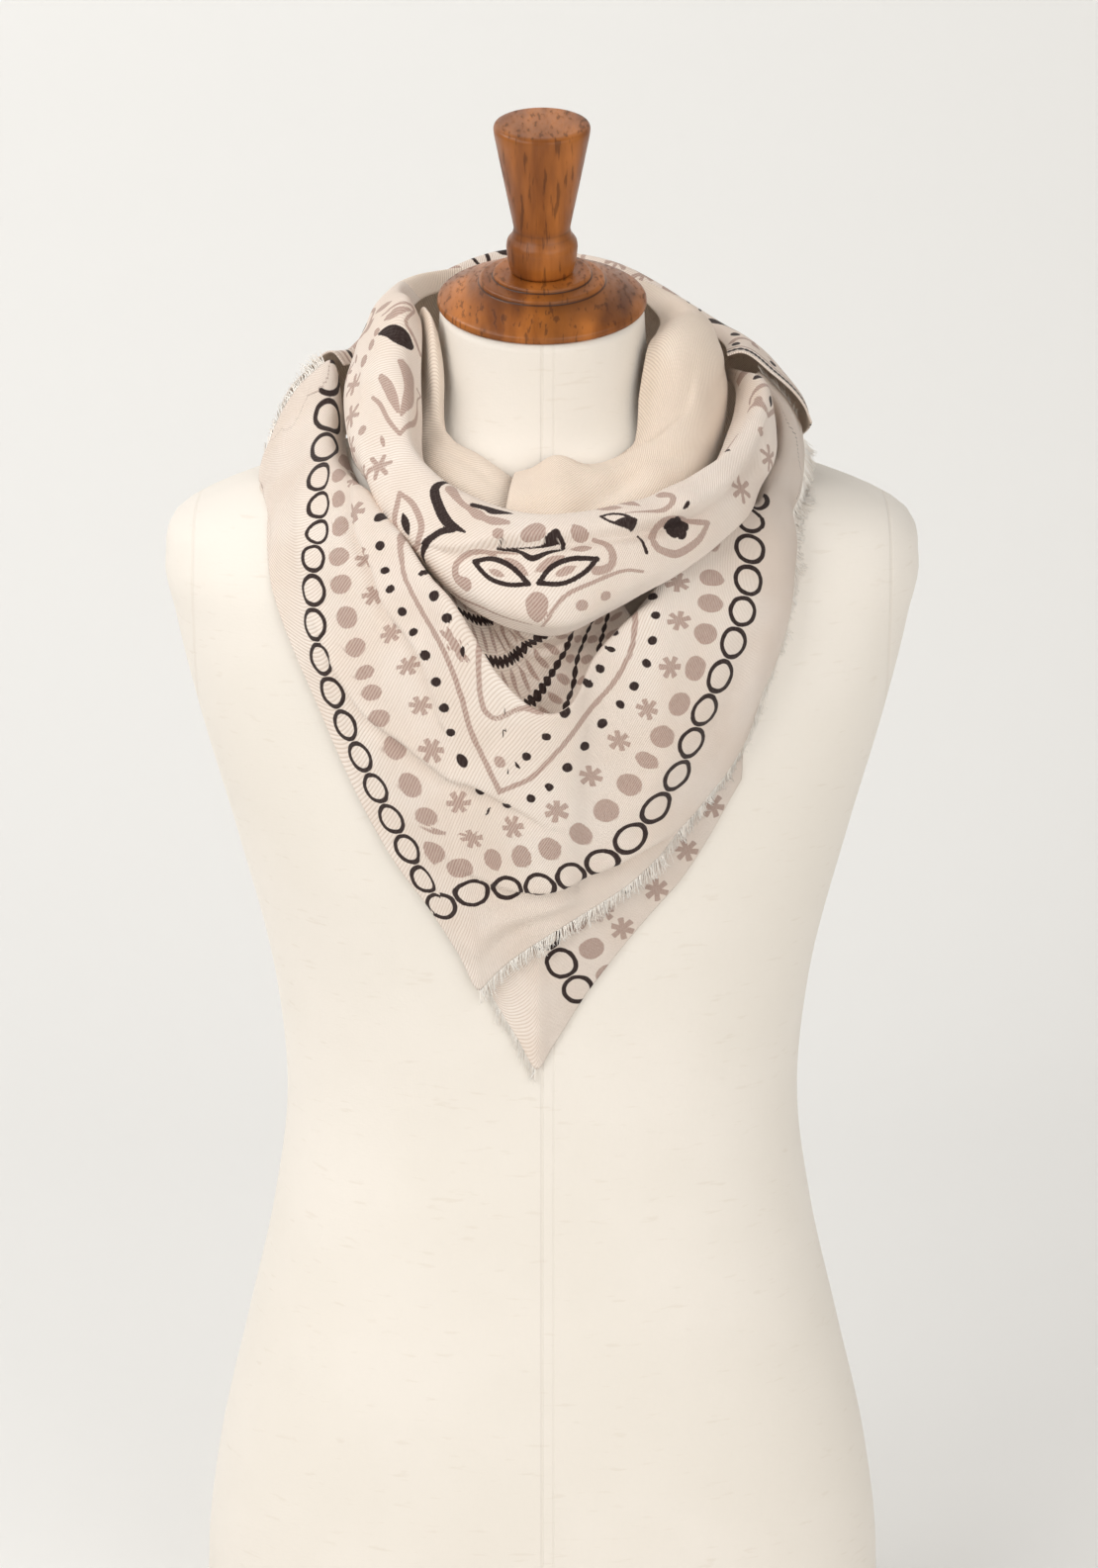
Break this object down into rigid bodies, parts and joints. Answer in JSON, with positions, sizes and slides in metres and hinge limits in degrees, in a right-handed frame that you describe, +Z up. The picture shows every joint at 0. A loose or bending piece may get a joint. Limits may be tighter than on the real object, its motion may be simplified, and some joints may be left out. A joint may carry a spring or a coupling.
{
  "type": "frayed edge scarf on a limbless dress form",
  "caption": "Square twill scarf with frayed edges, wound round the neck of a calico torso form with a turned wooden cap and finial.",
  "frame": {"origin": "centre of the form's flat underside", "axes": "+Z up, -Y towards the form's front, +X to the right as the front is looked at"},
  "size_m": [0.404, 0.2802, 0.8897],
  "materials": {
    "scarf_twill": "soft light twill with a printed pattern",
    "form_calico": "plain calico stretched over the form",
    "turned_wood": "waxed and polished"
  },
  "bodies": {
    "root": {"form_torso": "form_calico", "neck_cap": "turned_wood", "finial": "turned_wood", "drape_front": "scarf_twill", "cowl_fold": "scarf_twill", "neck_wrap_left": "scarf_twill", "neck_wrap_right": "scarf_twill", "neck_wrap_back": "scarf_twill", "outer_turn": "scarf_twill", "pocket_fold": "scarf_twill", "tip_under": "scarf_twill", "fringe_front": "scarf_twill", "fringe_left_end": "scarf_twill", "fringe_right_end": "scarf_twill", "fringe_under_tip": "scarf_twill"}
  },
  "joints": []
}
